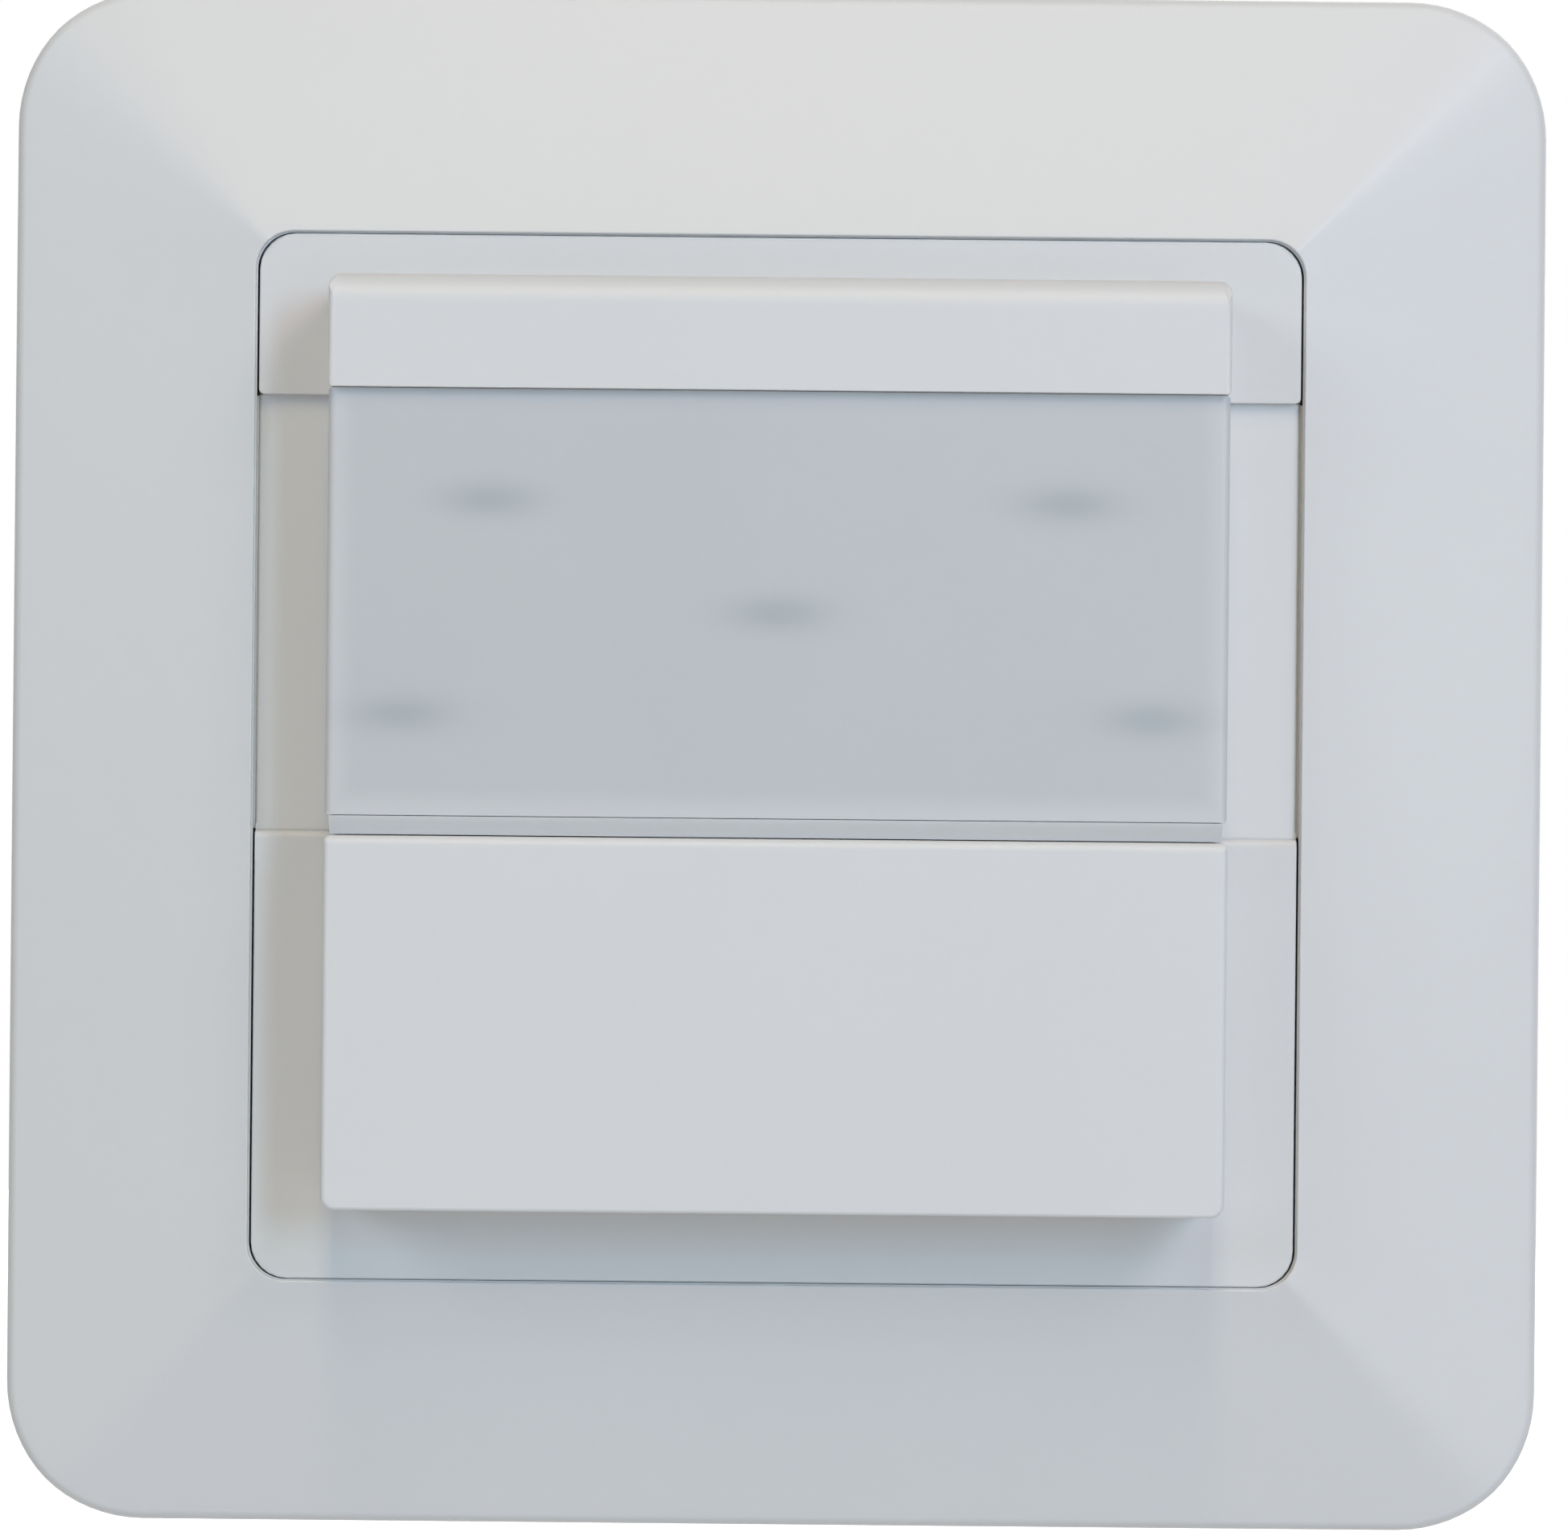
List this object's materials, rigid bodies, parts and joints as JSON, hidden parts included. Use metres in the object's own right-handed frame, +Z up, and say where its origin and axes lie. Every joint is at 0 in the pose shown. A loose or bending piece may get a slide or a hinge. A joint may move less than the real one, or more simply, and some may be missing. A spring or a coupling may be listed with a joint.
{
  "type": "motion sensor light switch",
  "caption": "Flush-mounted wall light switch: square bevelled frame, hooded milky motion sensor lens, wide push key below it, and a relay insert with claws on a steel ring.",
  "frame": {"origin": "middle of the box screw slots, on the wall plane", "axes": "+X to the right as seen from the room, +Y into the wall, +Z up the wall"},
  "size_m": [0.0814, 0.0452, 0.0814],
  "materials": {
    "white_plastic": "smooth satin white",
    "lens_plastic": "milky, slightly translucent",
    "back_plastic": "light grey moulding",
    "housing_plastic": "dark grey moulding",
    "terminal_plastic": "grey moulding",
    "zinc_steel": "zinc plated",
    "bright_steel": "bright drawn",
    "dark_window": "dark filter",
    "board_laminate": "green solder mask",
    "black_plastic": "black moulding",
    "clear_resin": "clear resin",
    "red_resin": "red resin",
    "cream_plastic": "cream moulding",
    "blue_plastic": "blue coating",
    "contact_brass": "bright brass",
    "relay_plastic": "blue case",
    "yellow_plastic": "yellow case",
    "sleeve_plastic": "dark sleeve",
    "fuse_plastic": "brown case"
  },
  "bodies": {
    "base": {"cover_frame": "white_plastic", "hood": "white_plastic", "fresnel_lens": "lens_plastic", "head_frame": "white_plastic", "head_back": "back_plastic", "sensor_board": "board_laminate", "board_screws": "zinc_steel", "pir_sensor": "bright_steel", "pir_window": "dark_window", "light_sensor": "clear_resin", "status_led": "red_resin", "push_switch": "black_plastic", "key_spring": "bright_steel", "time_trimmer": "blue_plastic", "light_trimmer": "blue_plastic", "pin_header": "black_plastic", "header_pins": "contact_brass", "header_socket": "black_plastic", "support_ring": "zinc_steel", "ring_rivets": "zinc_steel", "insert_housing": "housing_plastic", "insert_cover": "housing_plastic", "cover_screws": "zinc_steel", "power_board": "board_laminate", "relay": "relay_plastic", "film_capacitor": "yellow_plastic", "bulk_capacitor": "sleeve_plastic", "varistor": "blue_plastic", "fuse": "fuse_plastic", "transformer": "black_plastic", "terminal_block": "terminal_plastic", "terminal_clamps": "contact_brass", "terminal_screws": "zinc_steel", "claw_pins": "bright_steel"},
    "push_key": {"push_key": "white_plastic"},
    "switch_plunger": {"switch_plunger": "cream_plastic"},
    "time_rotor": {"time_rotor": "cream_plastic"},
    "light_rotor": {"light_rotor": "cream_plastic"},
    "claw_left": {"claw_left": "zinc_steel"},
    "claw_right": {"claw_right": "zinc_steel"},
    "claw_screw_left": {"claw_screw_left": "zinc_steel"},
    "claw_screw_right": {"claw_screw_right": "zinc_steel"}
  },
  "joints": [
    {"name": "key_tilt", "type": "hinge", "parent": "base", "child": "push_key", "pos_m": [0, -0.0104, -0.00785], "axis": [1, 0, 0], "range_deg": [0, 4], "stiffness_Nm_per_rad": 0.25, "springref_deg": -4.01, "deforming": ["key_spring"]},
    {"name": "plunger_slide", "type": "slide", "parent": "base", "child": "switch_plunger", "axis": [0, 1, 0], "range_m": [0, 0.000252]},
    {"name": "time_turn", "type": "hinge", "parent": "base", "child": "time_rotor", "pos_m": [-0.0105, -0.012, -0.01325], "axis": [0, 1, 0], "range_deg": [-135, 135]},
    {"name": "light_turn", "type": "hinge", "parent": "base", "child": "light_rotor", "pos_m": [0.0105, -0.012, -0.01325], "axis": [0, 1, 0], "range_deg": [-135, 135]},
    {"name": "left_screw_turn", "type": "hinge", "parent": "base", "child": "claw_screw_left", "pos_m": [-0.0244, 0, 0], "axis": [0, 1, 0], "range_deg": [0, 792]},
    {"name": "right_screw_turn", "type": "hinge", "parent": "base", "child": "claw_screw_right", "pos_m": [0.0244, 0, 0], "axis": [0, 1, 0], "range_deg": [0, 792]},
    {"name": "left_claw_swing", "type": "hinge", "parent": "base", "child": "claw_left", "pos_m": [-0.0213, 0.0024, 0], "axis": [0, 0, 1], "range_deg": [0, 18]},
    {"name": "right_claw_swing", "type": "hinge", "parent": "base", "child": "claw_right", "pos_m": [0.0213, 0.0024, 0], "axis": [0, 0, -1], "range_deg": [0, 18]}
  ],
  "couplings": [
    {"joint": "plunger_slide", "follows": "key_tilt", "m_per_rad": 0.0036},
    {"joint": "left_claw_swing", "follows": "left_screw_turn", "ratio": 0.022727},
    {"joint": "right_claw_swing", "follows": "right_screw_turn", "ratio": 0.022727}
  ]
}
